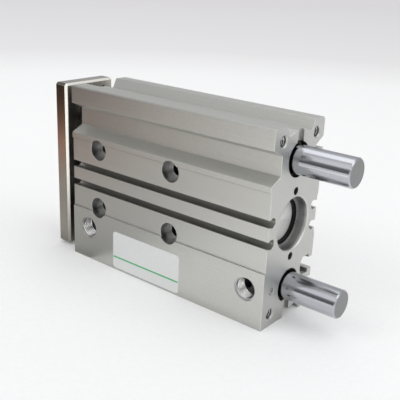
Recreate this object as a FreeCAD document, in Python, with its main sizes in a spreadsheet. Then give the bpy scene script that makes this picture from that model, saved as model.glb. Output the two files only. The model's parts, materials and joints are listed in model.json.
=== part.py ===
import FreeCAD, Part
import math
import os
import Sketcher

# Guided pneumatic cylinder: an extruded aluminium body with one piston and two
# guide rods, all three bolted to a tooling plate in front of the body.
#
# Frame of the assembly: +X runs from the plate to the free ends of the guide
# rods, -Y is the face with the ports, +Z is up, and the origin lies under the
# middle of the whole length at the height of the body's lower narrow face.
#
# Every piece is drawn in the cylinder frame: x = 0 on the body's front face,
# y = z = 0 on the piston axis.  Its Placement then carries it to its place.

doc = FreeCAD.newDocument("GuidedCylinder")
sheet = doc.addObject("Spreadsheet::Sheet", "Sizes")
sheet_rows = 0


class Size:
    """A length held twice: as a number, and as the sheet expression behind it."""

    def __init__(self, value, text):
        self.value = float(value)
        self.text = text

    def __add__(self, other):
        other = as_size(other)
        return Size(self.value + other.value, "(%s + %s)" % (self.text, other.text))

    def __sub__(self, other):
        other = as_size(other)
        return Size(self.value - other.value, "(%s - %s)" % (self.text, other.text))

    def __mul__(self, factor):
        return Size(self.value * factor, "%s * %r" % (self.text, float(factor)))

    __rmul__ = __mul__

    def __truediv__(self, divisor):
        return Size(self.value / divisor, "%s / %r" % (self.text, float(divisor)))

    def __neg__(self):
        return Size(-self.value, "(0 - %s)" % self.text)

    def expression(self):
        return self.text.replace("@", "Sizes.")


def as_size(length):
    return length if isinstance(length, Size) else Size(length, repr(float(length)))


def write_row(alias, content, note):
    global sheet_rows
    sheet_rows += 1
    sheet.set("A%d" % sheet_rows, alias)
    sheet.set("B%d" % sheet_rows, content)
    sheet.setAlias("B%d" % sheet_rows, alias)
    sheet.set("C%d" % sheet_rows, note)


def size(alias, value, note):
    """A driving size: a plain number in the sheet."""
    write_row(alias, repr(value), note)
    return Size(value, "@" + alias)


def derived(alias, length, note):
    """A size that follows from driving sizes: a formula in the sheet."""
    write_row(alias, "=" + length.text.replace("@", ""), note)
    return Size(length.value, "@" + alias)


# ---------------------------------------------------------------- driving sizes
stroke = size("stroke", 75.0, "travel of the piston")
bore = size("bore", 20.0, "diameter of the piston bore")
rod_d = size("piston_rod_dia", 10.0, "diameter of the piston rod")
guide_d = size("guide_rod_dia", 12.0, "diameter of the two guide rods")
guide_pitch = size("guide_pitch", 54.0, "distance between the guide rod axes")
fit = size("running_fit", 0.05, "radial clearance where a piece slides")
break_edge = size("edge_break", 0.5, "small chamfers on turned and machined edges")

plate_t = size("plate_thickness", 8.0, "tooling plate, along the stroke")
plate_w = size("plate_width", 30.0, "tooling plate, across the body's depth")
plate_h = size("plate_height", 81.0, "tooling plate, along the body's height")
plate_gap = size("plate_gap", 7.5, "plate to body with the rod drawn in")
plate_edge = size("plate_edge", 1.0, "chamfer round the plate")
plate_hole_side = size("plate_hole_side", 6.0, "plate tapped holes, in from the long sides")
plate_hole_end = size("plate_hole_end", 5.5, "plate tapped holes, in from the ends")

body_depth = size("body_depth", 36.0, "port face to T-slot face")
body_height = size("body_height", 83.0, "narrow face to narrow face")
overhang = size("guide_overhang", 25.0, "guide rods past the rear face")

face_relief = size("face_relief", 0.6, "set-back of the faces between their ribs")
port_block = size("port_block_top", 16.5, "port block's upper edge, below the axis")
rib_near = size("rib_inner_edge", 17.0, "port face rib, inner edge above the axis")
rib_far = size("rib_outer_edge", 19.5, "port face rib, outer edge above the axis")
notch_depth = size("notch_depth", 6.0, "grip notch, below the wide face")
notch_floor_low = size("notch_floor_near", 22.5, "grip notch floor, nearer edge")
notch_floor_high = size("notch_floor_far", 30.5, "grip notch floor, farther edge")
notch_rim = size("notch_rim", 33.5, "grip notch, where its outer slope ends")
back_notch_low = size("back_notch_near", 28.7, "grip notch on the T-slot face, near edge")
edge_flat = size("corner_flat", 1.0, "chamfer along the body's outer corners")

channel_mouth = size("channel_mouth", 10.3, "narrow-face channel, half width at the mouth")
channel_knee = size("channel_knee", 8.0, "channel, half width at its deepest line")
channel_crest = size("channel_crest", 2.2, "channel, half width of its middle land")
channel_deep = size("channel_depth", 4.2, "channel, depth at its deepest line")
channel_land = size("channel_land_depth", 2.6, "channel, depth of its middle land")

slot_pitch = size("tslot_pitch", 44.0, "distance between the two T-slots")
slot_mouth = size("tslot_mouth", 5.4, "T-slot, width of the mouth")
slot_width = size("tslot_width", 8.4, "T-slot, width of the wide part")
slot_neck = size("tslot_neck", 2.8, "T-slot, depth of the mouth")
slot_wide = size("tslot_wide_depth", 5.0, "T-slot, depth of the wide part")
slot_taper = size("tslot_taper_depth", 1.5, "T-slot, tapered bottom")
slot_floor = size("tslot_floor", 3.6, "T-slot, width of the floor")
jaw_inner = size("jaw_inner", 9.5, "T-slot jaw, inner edge from the axis")
jaw_slope = size("jaw_slope", 2.0, "run of the jaw's slope to the set-back face")

switch_pitch = size("switch_pitch", 9.0, "distance between a face's switch grooves")
switch_d = size("switch_groove_dia", 4.2, "switch groove, round part")
switch_mouth = size("switch_groove_mouth", 3.2, "switch groove, width of the mouth")
switch_deep = size("switch_groove_centre", 2.9, "switch groove centre, below the wide face")

mount_x = size("mount_first", 17.0, "front face to the first through holes")
mount_pitch_x = size("mount_pitch_length", 44.0, "through holes, along the body")
mount_pitch_z = size("mount_pitch_height", 28.0, "through holes, across the axis")
mount_d = size("mount_hole_dia", 5.4, "through holes")
mount_head_d = size("mount_counterbore_dia", 9.5, "through holes, counterbore")
mount_head_t = size("mount_counterbore_depth", 5.5, "through holes, counterbore depth")
thread_lead_d = size("thread_lead_dia", 6.4, "lead chamfer of the M6 threads")
pin_d = size("pin_hole_dia", 3.0, "locating pin hole")
pin_slot = size("pin_slot_length", 3.5, "long locating pin hole, along the body")
pin_t = size("pin_hole_depth", 6.0, "locating pin holes, depth")

port_front = size("port_front", 10.5, "front face to the front port")
port_rear = size("port_rear", 9.0, "rear port to the rear face")
port_drop = size("port_drop", 25.5, "ports, below the piston axis")
port_d = size("port_dia", 9.2, "ports, inside their pipe thread")
port_rim = size("port_rim", 0.5, "ports, countersink beyond their wall")
port_sink = size("port_sink", 0.5, "ports, depth of the countersink")
port_t = size("port_depth", 9.0, "ports, depth")
side_port_y = size("side_port_inset", 8.5, "side ports, from the port face")
side_port_rear = size("side_port_rear", 14.0, "rear side port to the rear face")
side_port_t = size("side_port_depth", 8.0, "side ports, depth")
side_link_d = size("side_link_dia", 4.0, "drilled link, side port to port")
passage_d = size("passage_dia", 2.4, "air passages")
passage_entry = size("passage_entry", 5.0, "air passage, inside the port from the face")
passage_exit = size("passage_exit", 12.5, "air passage, inside the bore from the face")
passage_past = size("passage_past_cover", 1.0, "air passage, beyond the cover's inner end")
plug_t = size("side_plug_length", 6.0, "side port plugs")
plug_hex = size("side_plug_hex", 5.0, "side port plugs, socket across flats")
plug_hex_t = size("side_plug_hex_depth", 3.5, "side port plugs, socket depth")
ball_y = size("passage_plug_inset", 5.8, "passage plugs, from the port face")
ball_d = size("passage_plug_dia", 3.2, "passage plugs")
ball_t = size("passage_plug_length", 3.0, "passage plugs")
ball_sunk = size("passage_plug_sunk", 0.6, "passage plugs, below the end face")

rear_hole_side = size("rear_hole_side", 6.0, "rear tapped holes, in from the wide faces")
rear_hole_end = size("rear_hole_end", 5.5, "rear tapped holes, in from the narrow faces")
tap_m5_d = size("tap_m5_dia", 4.2, "M5 threads, inside diameter")
tap_m5_lead = size("tap_m5_lead_dia", 5.2, "M5 threads, lead chamfer")
rear_hole_t = size("rear_hole_depth", 9.0, "rear tapped holes, depth")
blind_pitch = size("blind_hole_pitch", 28.0, "small blind holes in the rear face")
blind_d = size("blind_hole_dia", 3.4, "small blind holes")
blind_t = size("blind_hole_depth", 8.0, "small blind holes, depth")
relief_t = size("end_relief_depth", 1.2, "groove in each end face, guide rod to channel")

bush_wall = size("bush_wall", 1.0, "guide bushes, rod to bore")
guide_mouth_step = size("guide_mouth_step", 0.3, "guide bores, mouths beyond the bush seat")
guide_mouth_t = size("guide_mouth_depth", 3.0, "guide bores, from the face to the bush")
bush_length = size("bush_length", 22.0, "guide bushes")

ring_t = size("ring_thickness", 1.2, "retaining rings")
ring_seat = size("ring_seat", 0.9, "ring grooves, below the bore's wall")
ring_width = size("ring_width", 1.9, "retaining rings, radial width")
ring_gap = size("ring_gap", 7.0, "retaining rings, opening")
bore_mouth_step = size("bore_mouth_step", 1.2, "bore mouths, beyond the bore's wall")
bore_lip = size("bore_lip", 0.6, "lip outside each ring groove")
front_recess = size("front_recess", 1.8, "front face to the front ring")
rear_recess = size("rear_recess", 5.2, "rear ring to the rear face")
head_t = size("head_cover_length", 6.0, "head cover")
cover_step_drop = size("cover_step_drop", 1.8, "covers, inner ends below the bore's wall")
cover_step = size("cover_step", 2.4, "covers, length of those ends")
gasket_t = size("gasket_width", 1.8, "static seals")
gasket_drop = size("gasket_drop", 1.3, "static seals, depth below the bore's wall")
gasket_land = size("gasket_land", 1.0, "cover rim outside its seals")
seal_t = size("rod_seal_length", 2.6, "rod seal")
seal_wall = size("rod_seal_wall", 2.5, "rod seal, rod to its groove")
rod_gap = size("rod_cover_gap", 0.3, "rod cover rim, clear of the rod")
rod_bush_wall = size("rod_bush_wall", 1.0, "rod bushing, rod to cover")
rod_bush_t = size("rod_bush_length", 5.4, "rod bushing")

piston_t = size("piston_length", 9.6, "piston")
bumper_t = size("bumper_thickness", 1.4, "end bumpers")
bumper_drop = size("bumper_drop", 2.0, "end bumpers, below the bore's wall")
end_gap = size("end_gap", 0.1, "bumper to cover at each end of the travel")
piston_seal_t = size("piston_seal_width", 2.2, "piston seal")
piston_seal_drop = size("piston_seal_drop", 2.25, "piston seal, below the piston's wall")
magnet_t = size("magnet_width", 2.6, "piston magnet")
magnet_drop = size("magnet_drop", 2.65, "magnet groove, below the piston's wall")
magnet_cover = size("magnet_cover", 0.6, "piston magnet, below the piston's wall")
piston_rim = size("piston_rim", 1.2, "piston, end land outside its grooves")
spigot_d = size("piston_rod_spigot_dia", 6.0, "piston rod, end inside the piston")

bolt_d = size("bolt_dia", 5.0, "M5 socket screws")
bolt_gap = size("bolt_gap", 0.25, "M5 socket screws, clear of the plate")
bolt_head_d = size("bolt_head_dia", 8.5, "M5 socket screws, head")
bolt_head_t = size("bolt_head_height", 4.8, "M5 socket screws, head height")
bolt_hex = size("bolt_hex", 4.0, "M5 socket screws, across the socket")
bolt_hex_t = size("bolt_hex_depth", 2.6, "M5 socket screws, socket depth")
bolt_grip = size("bolt_grip", 10.0, "M5 socket screws, length inside the rod")
head_gap = size("bolt_head_gap", 0.25, "screw heads, clear of their counterbores")
head_sunk = size("bolt_head_sunk", 0.2, "screw heads, below the plate's face")

# ---------------------------------------------------------------- derived sizes
cover_x = derived("rod_cover_front", front_recess + ring_t, "front of the rod cover")
cover_t = derived("rod_cover_length", gasket_land + seal_t + rod_bush_t, "rod cover")
chamber_x = derived("chamber_front", cover_x + cover_t, "inner end of the rod cover")
moving_t = derived("piston_set", piston_t + bumper_t * 2 + end_gap * 2,
                   "piston, its bumpers and their end gaps")
head_x = derived("head_cover_front", chamber_x + stroke + moving_t,
                 "inner end of the head cover")
head_back = derived("head_cover_back", head_x + head_t, "outer end of the head cover")
body_length = derived("body_length", head_back + ring_t + rear_recess,
                      "front face to rear face")
whole_length = derived("whole_length",
                       plate_t + plate_gap + body_length + overhang,
                       "plate to the free ends of the guide rods")
origin_x = derived("body_front", plate_t + plate_gap - whole_length / 2,
                   "front face in the assembly frame")
axis_z = derived("axis_height", body_height / 2, "piston axis in the assembly frame")
bore_r = derived("bore_radius", bore / 2, "piston bore radius")
half_depth = derived("half_depth", body_depth / 2, "half the body's depth")
half_height = derived("half_height", body_height / 2, "half the body's height")
guide_z = derived("guide_offset", guide_pitch / 2, "guide rods from the piston axis")
piston_x = derived("piston_front", head_x - end_gap - bumper_t - piston_t,
                   "front of the piston with the rod drawn in")
piston_end = derived("piston_back", piston_x + piston_t, "back of the piston")
plate_back = derived("plate_back", -plate_gap, "plate's face towards the body")
plate_front = derived("plate_front", -(plate_gap + plate_t), "plate's outer face")
ring_out = derived("ring_radius", bore_r + ring_seat, "rings, outside radius")
rod_r = derived("rod_radius", rod_d / 2, "piston rod radius")
guide_r = derived("guide_radius", guide_d / 2, "guide rod radius")
seat_r = derived("bush_seat_radius", guide_r + bush_wall, "guide bores at the bushes")
piston_r = derived("piston_radius", bore_r - fit, "piston, outside radius")
port_mouth_d = derived("port_mouth_dia", port_d + port_rim * 2, "ports, at the face")
sink_d = derived("bolt_sink_dia", bolt_head_d + head_gap * 2, "counterbores in the plate")
sink_t = derived("bolt_sink_depth", bolt_head_t + head_sunk, "those counterbores' depth")
doc.recompute()


# ---------------------------------------------------------------- drawing helpers
def new_piece(label, z=None):
    """A PartDesign body drawn in the cylinder frame; z shifts it off the axis."""
    piece = doc.addObject("PartDesign::Body", "Piece_" + label)
    piece.Label = label
    piece.setExpression("Placement.Base.x", origin_x.expression())
    height = axis_z if z is None else axis_z + z
    piece.setExpression("Placement.Base.z", height.expression())
    return piece


def new_sketch(piece, role, offset=0.0):
    """A sketch on one of the piece's origin planes, moved along its normal.

    YZ_Plane faces +X (u = y, v = z), XY_Plane faces +Z (u = x, v = y) and
    XZ_Plane faces -Y (u = x, v = z)."""
    sketch = piece.newObject("Sketcher::SketchObject", "Sketch")
    plane = next(f for f in piece.Origin.OriginFeatures if f.Role == role)
    sketch.AttachmentSupport = (plane, [""])
    sketch.MapMode = "FlatFace"
    sketch.setExpression("AttachmentOffset.Base.z", as_size(offset).expression())
    return sketch


def fix_point(sketch, geometry, point, u, v):
    """Dimension one point of the sketch from its origin."""
    for kind, length in (("DistanceX", as_size(u)), ("DistanceY", as_size(v))):
        index = sketch.addConstraint(
            Sketcher.Constraint(kind, -1, 1, geometry, point, length.value))
        sketch.setExpression("Constraints[%d]" % index, length.expression())


def draw_loop(sketch, points):
    """A closed outline of straight lines, every corner dimensioned."""
    count, first = len(points), sketch.GeometryCount
    corners = [FreeCAD.Vector(as_size(u).value, as_size(v).value, 0) for u, v in points]
    for i in range(count):
        sketch.addGeometry(Part.LineSegment(corners[i], corners[(i + 1) % count]))
    for i in range(count):
        sketch.addConstraint(Sketcher.Constraint(
            "Coincident", first + i, 2, first + (i + 1) % count, 1))
    for i, (u, v) in enumerate(points):
        fix_point(sketch, first + i, 1, u, v)


def draw_circles(sketch, centres, diameter):
    """Circles of one diameter, every centre dimensioned."""
    for u, v in centres:
        centre = FreeCAD.Vector(as_size(u).value, as_size(v).value, 0)
        geometry = sketch.addGeometry(
            Part.Circle(centre, FreeCAD.Vector(0, 0, 1), diameter.value / 2))
        fix_point(sketch, geometry, 3, u, v)
        index = sketch.addConstraint(
            Sketcher.Constraint("Diameter", geometry, diameter.value))
        sketch.setExpression("Constraints[%d]" % index, diameter.expression())


def box_loop(u0, v0, u1, v1):
    return [(u0, v0), (u1, v0), (u1, v1), (u0, v1)]


def hexagon(u, v, flats):
    """Corners of a hexagonal socket centred on (u, v)."""
    corner, side = flats / math.sqrt(3), flats / 2
    return [(u + corner, v), (u + corner / 2, v + side), (u - corner / 2, v + side),
            (u - corner, v), (u - corner / 2, v - side), (u + corner / 2, v - side)]


def add_feature(piece, kind, sketch):
    feature = piece.newObject("PartDesign::" + kind, kind)
    feature.Profile = sketch
    return feature


def check_cut(piece, before):
    """Stop when a feature that should remove material removed none."""
    doc.recompute()
    if piece.Shape.isNull() or not piece.Shape.Volume < before - 0.01:
        raise RuntimeError("a cut in %s removes nothing" % piece.Label)


def pad(piece, sketch, length):
    feature = add_feature(piece, "Pad", sketch)
    feature.setExpression("Length", as_size(length).expression())
    return feature


def pocket(piece, sketch, depth=None, forward=False):
    """Cut a sketch into the piece: right through, or to a depth."""
    doc.recompute()
    before = piece.Shape.Volume
    feature = add_feature(piece, "Pocket", sketch)
    feature.Reversed = forward
    if depth is None:
        feature.Type = "ThroughAll"
    else:
        feature.setExpression("Length", as_size(depth).expression())
    check_cut(piece, before)


def drill(piece, role, face, centres, diameter, depth=None, forward=False,
          sink_dia=None, sink_depth=None, point="Flat"):
    """Round holes into one face, with a counterbore (sink_depth given) or a
    45 degree lead (sink_dia alone); forward drills along the plane's normal."""
    sketch = new_sketch(piece, role, face)
    draw_circles(sketch, centres, diameter)
    doc.recompute()
    before = piece.Shape.Volume
    hole = add_feature(piece, "Hole", sketch)
    hole.setExpression("Diameter", diameter.expression())
    hole.Reversed = forward
    hole.DrillPoint = point
    if depth is None:
        hole.DepthType = "ThroughAll"
    else:
        hole.DepthType = "Dimension"
        hole.setExpression("Depth", as_size(depth).expression())
    if sink_dia is not None:
        hole.HoleCutType = "Countersink" if sink_depth is None else "Counterbore"
        hole.HoleCutCustomValues = True
        hole.setExpression("HoleCutDiameter", sink_dia.expression())
        if sink_depth is None:
            hole.HoleCutCountersinkAngle = 90.0
        else:
            hole.setExpression("HoleCutDepth", sink_depth.expression())
    check_cut(piece, before)


def spin(piece, profile, kind="Revolution", z=0.0):
    """Revolve (x, radius) corners about a line parallel to x at height z."""
    doc.recompute()
    before = 0.0 if piece.Shape.isNull() else piece.Shape.Volume
    sketch = new_sketch(piece, "XY_Plane", z)
    draw_loop(sketch, profile)
    feature = add_feature(piece, kind, sketch)
    feature.ReferenceAxis = (sketch, ["H_Axis"])
    feature.Angle = 360.0
    if kind == "Groove":
        check_cut(piece, before)


def turned(label, profile, z=None):
    piece = new_piece(label, z)
    spin(piece, profile)
    return piece


def ring_profile(x0, x1, inner_r, outer_r, edge):
    """A plain ring whose two outer edges are broken."""
    return [(x0, inner_r), (x1, inner_r), (x1, outer_r - edge), (x1 - edge, outer_r),
            (x0 + edge, outer_r), (x0, outer_r - edge)]


def seal_profile(x0, width, inner_r, outer_r):
    """A seal squeezed into its groove: a rectangle with bevelled corners."""
    bevel = width * 0.2
    x1 = x0 + width
    return [(x0 + bevel, inner_r), (x1 - bevel, inner_r), (x1, inner_r + bevel),
            (x1, outer_r - bevel), (x1 - bevel, outer_r), (x0 + bevel, outer_r),
            (x0, outer_r - bevel), (x0, inner_r + bevel)]


def pattern(du, dv, u=0.0, v=0.0):
    """Centres of a rectangular pattern of four about (u, v)."""
    return [(as_size(u) + du * i, as_size(v) + dv * j)
            for i in (-0.5, 0.5) for j in (-0.5, 0.5)]


# ---------------------------------------------------------------- body: the extrusion
def switch_necks(face, side):
    """Necks of one wide face's two switch grooves, from the lower one up."""
    centre, half = (half_depth - switch_deep) * side, switch_mouth / 2
    points = []
    for z in (-(switch_pitch / 2), switch_pitch / 2):
        points += [(face * side, z - half), (centre, z - half),
                   (centre, z + half), (face * side, z + half)]
    return points


def body_outline():
    """Cross-section (y, z) of the extrusion, clockwise from the lower channel."""
    top, back, relief = half_height, half_depth, half_depth - face_relief
    deep, neck = half_depth - notch_depth, half_depth - slot_neck
    wide = neck - slot_wide
    slot_z = slot_pitch / 2
    # The T-slot face above the axis, from its middle to the upper channel.
    upper = [(relief, jaw_inner - jaw_slope), (back, jaw_inner)]
    for side, edges in ((-1, (slot_mouth, slot_width, slot_floor)),
                        (1, (slot_floor, slot_width, slot_mouth))):
        z = [slot_z + edge / 2 * side for edge in edges]
        if side < 0:
            upper += [(back, z[0]), (neck, z[0]), (neck, z[1]), (wide, z[1]),
                      (wide - slot_taper, z[2])]
        else:
            upper += [(wide - slot_taper, z[0]), (wide, z[1]), (neck, z[1]),
                      (neck, z[2]), (back, z[2])]
    upper += [(back, back_notch_low), (deep, back_notch_low), (deep, notch_floor_high),
              (relief, notch_rim), (relief, top - edge_flat), (relief - edge_flat, top),
              (channel_mouth, top), (channel_knee, top - channel_deep),
              (channel_crest, top - channel_land)]
    lower = [(y, -z) for y, z in upper]
    port_face = [(-back, -top), (-back, -port_block), (-relief, -port_block)]
    port_face += switch_necks(relief, -1)
    port_face += [(-relief, rib_near), (-back, rib_near), (-back, rib_far),
                  (-deep, notch_floor_low), (-deep, notch_floor_high),
                  (-back, notch_rim), (-back, top - edge_flat / 2),
                  (edge_flat / 2 - back, top), (-channel_mouth, top),
                  (-channel_knee, top - channel_deep), (-channel_crest, top - channel_land)]
    return ([(-channel_crest, channel_land - top), (-channel_crest, -top)] + port_face
            + upper[::-1] + switch_necks(relief, 1)[::-1] + lower)


body = new_piece("body")
section = new_sketch(body, "YZ_Plane")
draw_loop(section, body_outline())
pad(body, section, body_length)

# Round bottoms of the four switch grooves, the whole length of the body.
rounds = new_sketch(body, "YZ_Plane")
draw_circles(rounds, pattern((half_depth - switch_deep) * 2, switch_pitch), switch_d)
pocket(body, rounds, None, True)

# Piston bore with its two mouths, lips and ring grooves, cut as one profile.
mouth_r = bore_r + bore_mouth_step
front_lip = front_recess - bore_lip
rear_lip = head_back + ring_t + bore_lip
outside = body_length + break_edge
spin(body, [(-break_edge, 0.0), (outside, 0.0),
            (outside, mouth_r + break_edge * 2), (body_length - break_edge, mouth_r),
            (rear_lip, mouth_r), (rear_lip, bore_r),
            (head_back + ring_t, bore_r), (head_back + ring_t, ring_out),
            (head_back, ring_out), (head_back, bore_r),
            (cover_x, bore_r), (cover_x, ring_out),
            (front_recess, ring_out), (front_recess, bore_r),
            (front_lip, bore_r), (front_lip, mouth_r),
            (break_edge, mouth_r), (-break_edge, mouth_r + break_edge * 2)], "Groove")

# Guide bores: the bush seat between two slightly wider mouths.
guide_mouth_r = seat_r + guide_mouth_step
guide_far = body_length - guide_mouth_t
for z in (guide_z, -guide_z):
    spin(body, [(-break_edge, 0.0), (outside, 0.0), (outside, guide_mouth_r),
                (guide_far, guide_mouth_r), (guide_far, seat_r),
                (guide_mouth_t, seat_r), (guide_mouth_t, guide_mouth_r),
                (-break_edge, guide_mouth_r)], "Groove", z)

# Groove in each end face from the guide bores out to the channels.
for face, forward in ((body_length, False), (as_size(0.0), True)):
    groove = new_sketch(body, "YZ_Plane", face)
    for inner, outer in ((guide_z, half_height), (-half_height, -guide_z)):
        draw_loop(groove, box_loop(-channel_crest, inner, channel_crest, outer))
    pocket(body, groove, relief_t, forward)

# Mounting holes: through from the port face, counterbored, with lead chamfers
# for the M6 threads on the T-slot face, and two locating pin holes between them.
mount_mid = mount_x + mount_pitch_x / 2
mounts = pattern(mount_pitch_x, mount_pitch_z, mount_mid)
drill(body, "XZ_Plane", half_depth, mounts, mount_d, None, False,
      mount_head_d, mount_head_t)
drill(body, "XZ_Plane", -half_depth, mounts, mount_d, mount_head_t, True,
      thread_lead_d)
drill(body, "XZ_Plane", -half_depth, [(mount_mid, mount_pitch_z / 2)], pin_d, pin_t, True)
for shift in (-0.5, 0.5):
    u = mount_mid + (pin_slot - pin_d) * shift
    drill(body, "XZ_Plane", -half_depth, [(u, -(mount_pitch_z / 2))], pin_d, pin_t, True)

# Air ports on the port face and on the lower narrow face.
port_x = (port_front, body_length - port_rear)
side_x = (port_front, body_length - side_port_rear)
side_y = side_port_y - half_depth
drill(body, "XZ_Plane", half_depth, [(x, -port_drop) for x in port_x], port_d, port_t,
      False, port_mouth_d, port_sink)
drill(body, "XY_Plane", -half_height, [(x, side_y) for x in side_x], port_d, side_port_t,
      True)
drill(body, "XY_Plane", -half_height, [(x, side_y) for x in side_x], side_link_d,
      half_height - port_drop, True)

# Slanted passage from each port into the bore, beyond the cover's inner end.
chambers = (chamber_x + passage_past, head_x - passage_past)
start_z = port_d / 2 - port_drop - passage_d / 2
for x, end_x in zip(port_x, chambers):
    entry = new_sketch(body, "XY_Plane", start_z)
    draw_circles(entry, [(x, passage_entry - half_depth)], passage_d)
    mouth = new_sketch(body, "XY_Plane", -(bore_r * 0.6))
    draw_circles(mouth, [(end_x, passage_exit - half_depth)], passage_d)
    doc.recompute()
    solid_before = body.Shape.Volume
    passage = add_feature(body, "SubtractiveLoft", entry)
    passage.Sections = [mouth]
    passage.Ruled = True
    check_cut(body, solid_before)

# Cross-drilled passages from the end faces to the ports, with a plug seat each.
ball_at = [(ball_y - half_depth, -port_drop)]
for face, reach, forward in ((body_length, port_rear, False), (0.0, port_front, True)):
    drill(body, "YZ_Plane", face, ball_at, passage_d, reach, forward)
    drill(body, "YZ_Plane", face, ball_at, ball_d, ball_sunk + ball_t, forward)

# Rear face: four tapped holes and two small blind holes.
rear_holes = pattern(body_depth - rear_hole_side * 2, body_height - rear_hole_end * 2)
drill(body, "YZ_Plane", body_length, rear_holes, tap_m5_d,
      rear_hole_t, False, tap_m5_lead, None, "Angled")
drill(body, "YZ_Plane", body_length, [(0.0, blind_pitch / 2), (0.0, -(blind_pitch / 2))],
      blind_d, blind_t, False, None, None, "Angled")


# ---------------------------------------------------------------- guide bushes
for end, bush_x in (("front", guide_mouth_t), ("rear", guide_far - bush_length)):
    for level, z in (("upper", guide_z), ("lower", -guide_z)):
        turned("guide_bush_%s_%s" % (end, level),
               ring_profile(bush_x, bush_x + bush_length, guide_r + fit, seat_r,
                            break_edge), z)

# ---------------------------------------------------------------- covers and rings
groove_r, step_r = bore_r - gasket_drop, bore_r - cover_step_drop
seal_r, rod_bush_r = rod_r + seal_wall, rod_r + rod_bush_wall
lip_in = cover_x + gasket_land
seal_end = lip_in + seal_t
turned("rod_cover", [
    (cover_x, rod_r + rod_gap), (lip_in, rod_r + rod_gap), (lip_in, seal_r),
    (seal_end, seal_r), (seal_end, rod_bush_r), (chamber_x, rod_bush_r),
    (chamber_x, step_r), (chamber_x - cover_step, step_r),
    (chamber_x - cover_step, bore_r), (lip_in + gasket_t, bore_r),
    (lip_in + gasket_t, groove_r), (lip_in, groove_r), (lip_in, bore_r),
    (cover_x, bore_r)])
turned("rod_cover_gasket", seal_profile(lip_in, gasket_t, groove_r, bore_r))
turned("rod_seal", seal_profile(lip_in, seal_t, rod_r + fit, seal_r))
turned("rod_bushing", ring_profile(seal_end, chamber_x, rod_r + fit, rod_bush_r,
                                   break_edge / 2))

head_groove = head_back - gasket_land - gasket_t
turned("head_cover", [
    (head_x, 0.0), (head_back, 0.0), (head_back, bore_r - break_edge),
    (head_back - break_edge, bore_r), (head_back - gasket_land, bore_r),
    (head_back - gasket_land, groove_r), (head_groove, groove_r), (head_groove, bore_r),
    (head_x + cover_step, bore_r), (head_x + cover_step, step_r), (head_x, step_r)])
turned("head_cover_gasket", seal_profile(head_groove, gasket_t, groove_r, bore_r))

# Retaining rings: flat rings with an opening on the port side.
for label, ring_x in (("rod_cover_ring", front_recess), ("head_cover_ring", head_back)):
    ring = turned(label, box_loop(ring_x, ring_out - ring_width, ring_x + ring_t, ring_out))
    opening = new_sketch(ring, "YZ_Plane", ring_x)
    draw_loop(opening, box_loop(-(ring_out * 1.5), -(ring_gap / 2), 0.0, ring_gap / 2))
    pocket(ring, opening, None, True)

# ---------------------------------------------------------------- plugs
side_plugs = new_piece("side_port_plugs")
plug_face = new_sketch(side_plugs, "XY_Plane", -half_height)
draw_circles(plug_face, [(x, side_y) for x in side_x], port_d)
pad(side_plugs, plug_face, plug_t)
for x in side_x:
    socket = new_sketch(side_plugs, "XY_Plane", -half_height)
    draw_loop(socket, hexagon(x, side_y, plug_hex))
    pocket(side_plugs, socket, plug_hex_t, True)

passage_plugs = new_piece("passage_plugs")
for plug_x in (ball_sunk, body_length - ball_sunk - ball_t):
    plug_end = new_sketch(passage_plugs, "YZ_Plane", plug_x)
    draw_circles(plug_end, ball_at, ball_d)
    pad(passage_plugs, plug_end, ball_t)

# ---------------------------------------------------------------- tooling plate
plate = new_piece("tooling_plate")
blank = new_sketch(plate, "YZ_Plane", plate_front)
draw_loop(blank, box_loop(-(plate_w / 2), -(plate_h / 2), plate_w / 2, plate_h / 2))
slab = pad(plate, blank, plate_t)
doc.recompute()
edges = plate.newObject("PartDesign::Chamfer", "Chamfer")
edges.Base = (slab, ["Edge%d" % (i + 1) for i in range(12)])
edges.setExpression("Size", plate_edge.expression())
screw_at = [(0.0, guide_z), (0.0, 0.0), (0.0, -guide_z)]
plate_holes = pattern(plate_w - plate_hole_side * 2, plate_h - plate_hole_end * 2)
drill(plate, "YZ_Plane", plate_front, screw_at, bolt_d + bolt_gap * 2, None, True,
      sink_d, sink_t)
drill(plate, "YZ_Plane", plate_front, plate_holes, tap_m5_d,
      None, True, tap_m5_lead)
drill(plate, "YZ_Plane", plate_back, plate_holes, tap_m5_d,
      break_edge * 2, False, tap_m5_lead)

# ---------------------------------------------------------------- screws in the plate
seat_x = plate_front + sink_t
head_face = seat_x - bolt_head_t
screw_end = plate_back + bolt_grip


def add_screw(piece, z):
    """Socket head screw along x, its head in the plate's counterbore."""
    spin(piece, [(head_face, 0.0), (screw_end, 0.0), (screw_end, bolt_d / 2 - break_edge),
                 (screw_end - break_edge, bolt_d / 2), (seat_x, bolt_d / 2),
                 (seat_x, bolt_head_d / 2), (head_face + break_edge, bolt_head_d / 2),
                 (head_face, bolt_head_d / 2 - break_edge)], "Revolution", z)


rod_screws = new_piece("guide_rod_bolts")
for z in (guide_z, -guide_z):
    add_screw(rod_screws, z)
centre_screw = new_piece("piston_rod_bolt")
add_screw(centre_screw, 0.0)
for piece, heights in ((rod_screws, (guide_z, -guide_z)), (centre_screw, (0.0,))):
    for z in heights:
        socket = new_sketch(piece, "YZ_Plane", head_face)
        draw_loop(socket, hexagon(as_size(0.0), as_size(z), bolt_hex))
        pocket(piece, socket, bolt_hex_t, True)

# ---------------------------------------------------------------- rods and piston
rod_tip = body_length + overhang
for label, z in (("guide_rod_upper", guide_z), ("guide_rod_lower", -guide_z)):
    rod = turned(label, [(plate_back, 0.0), (rod_tip, 0.0), (rod_tip, guide_r - break_edge),
                         (rod_tip - break_edge, guide_r),
                         (plate_back + break_edge, guide_r),
                         (plate_back, guide_r - break_edge)], z)
    drill(rod, "YZ_Plane", plate_back, [(0.0, 0.0)], bolt_d, bolt_grip, True, None, None,
          "Angled")

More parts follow.
